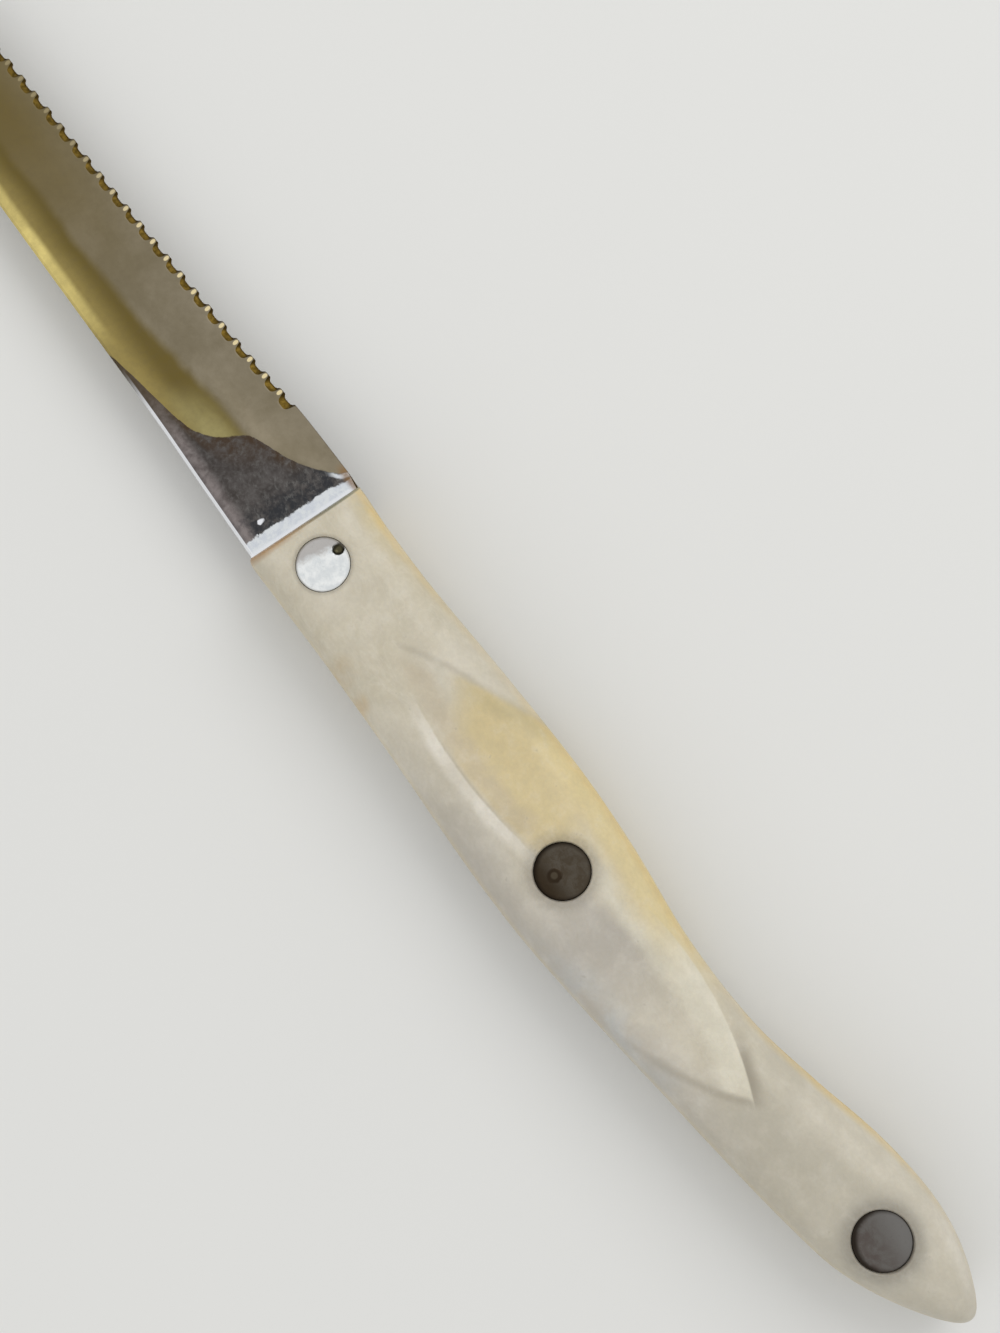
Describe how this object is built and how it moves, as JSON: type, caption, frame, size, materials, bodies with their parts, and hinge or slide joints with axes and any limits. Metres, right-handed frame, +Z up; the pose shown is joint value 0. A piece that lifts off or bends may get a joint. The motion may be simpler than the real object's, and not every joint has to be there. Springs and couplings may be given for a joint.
{
  "type": "serrated knife",
  "caption": "Riveted full-tang kitchen knife with a hollow-ground serrated blade and a sculpted resin handle, lying on its side.",
  "frame": {"origin": "under the middle of the knife's bounding box, on the surface that it lies on", "axes": "+X towards the tip of the blade, +Y towards the spine, +Z up out of the right face as the knife lies on its left scale"},
  "size_m": [0.2504, 0.0216, 0.014],
  "materials": {
    "blade_steel": "satin hollow grind, polished ricasso",
    "handle_resin": "worn satin, pearly",
    "rivet_bright": "bright satin",
    "rivet_dark": "tarnished brown-grey",
    "rivet_grey": "dull grey"
  },
  "bodies": {
    "root": {"blade": "blade_steel", "right_scale": "handle_resin", "left_scale": "handle_resin", "front_rivet_post": "rivet_bright", "front_rivet_sleeve": "rivet_bright", "middle_rivet_post": "rivet_dark", "middle_rivet_sleeve": "rivet_dark", "rear_rivet_post": "rivet_grey", "rear_rivet_sleeve": "rivet_grey"}
  },
  "joints": []
}
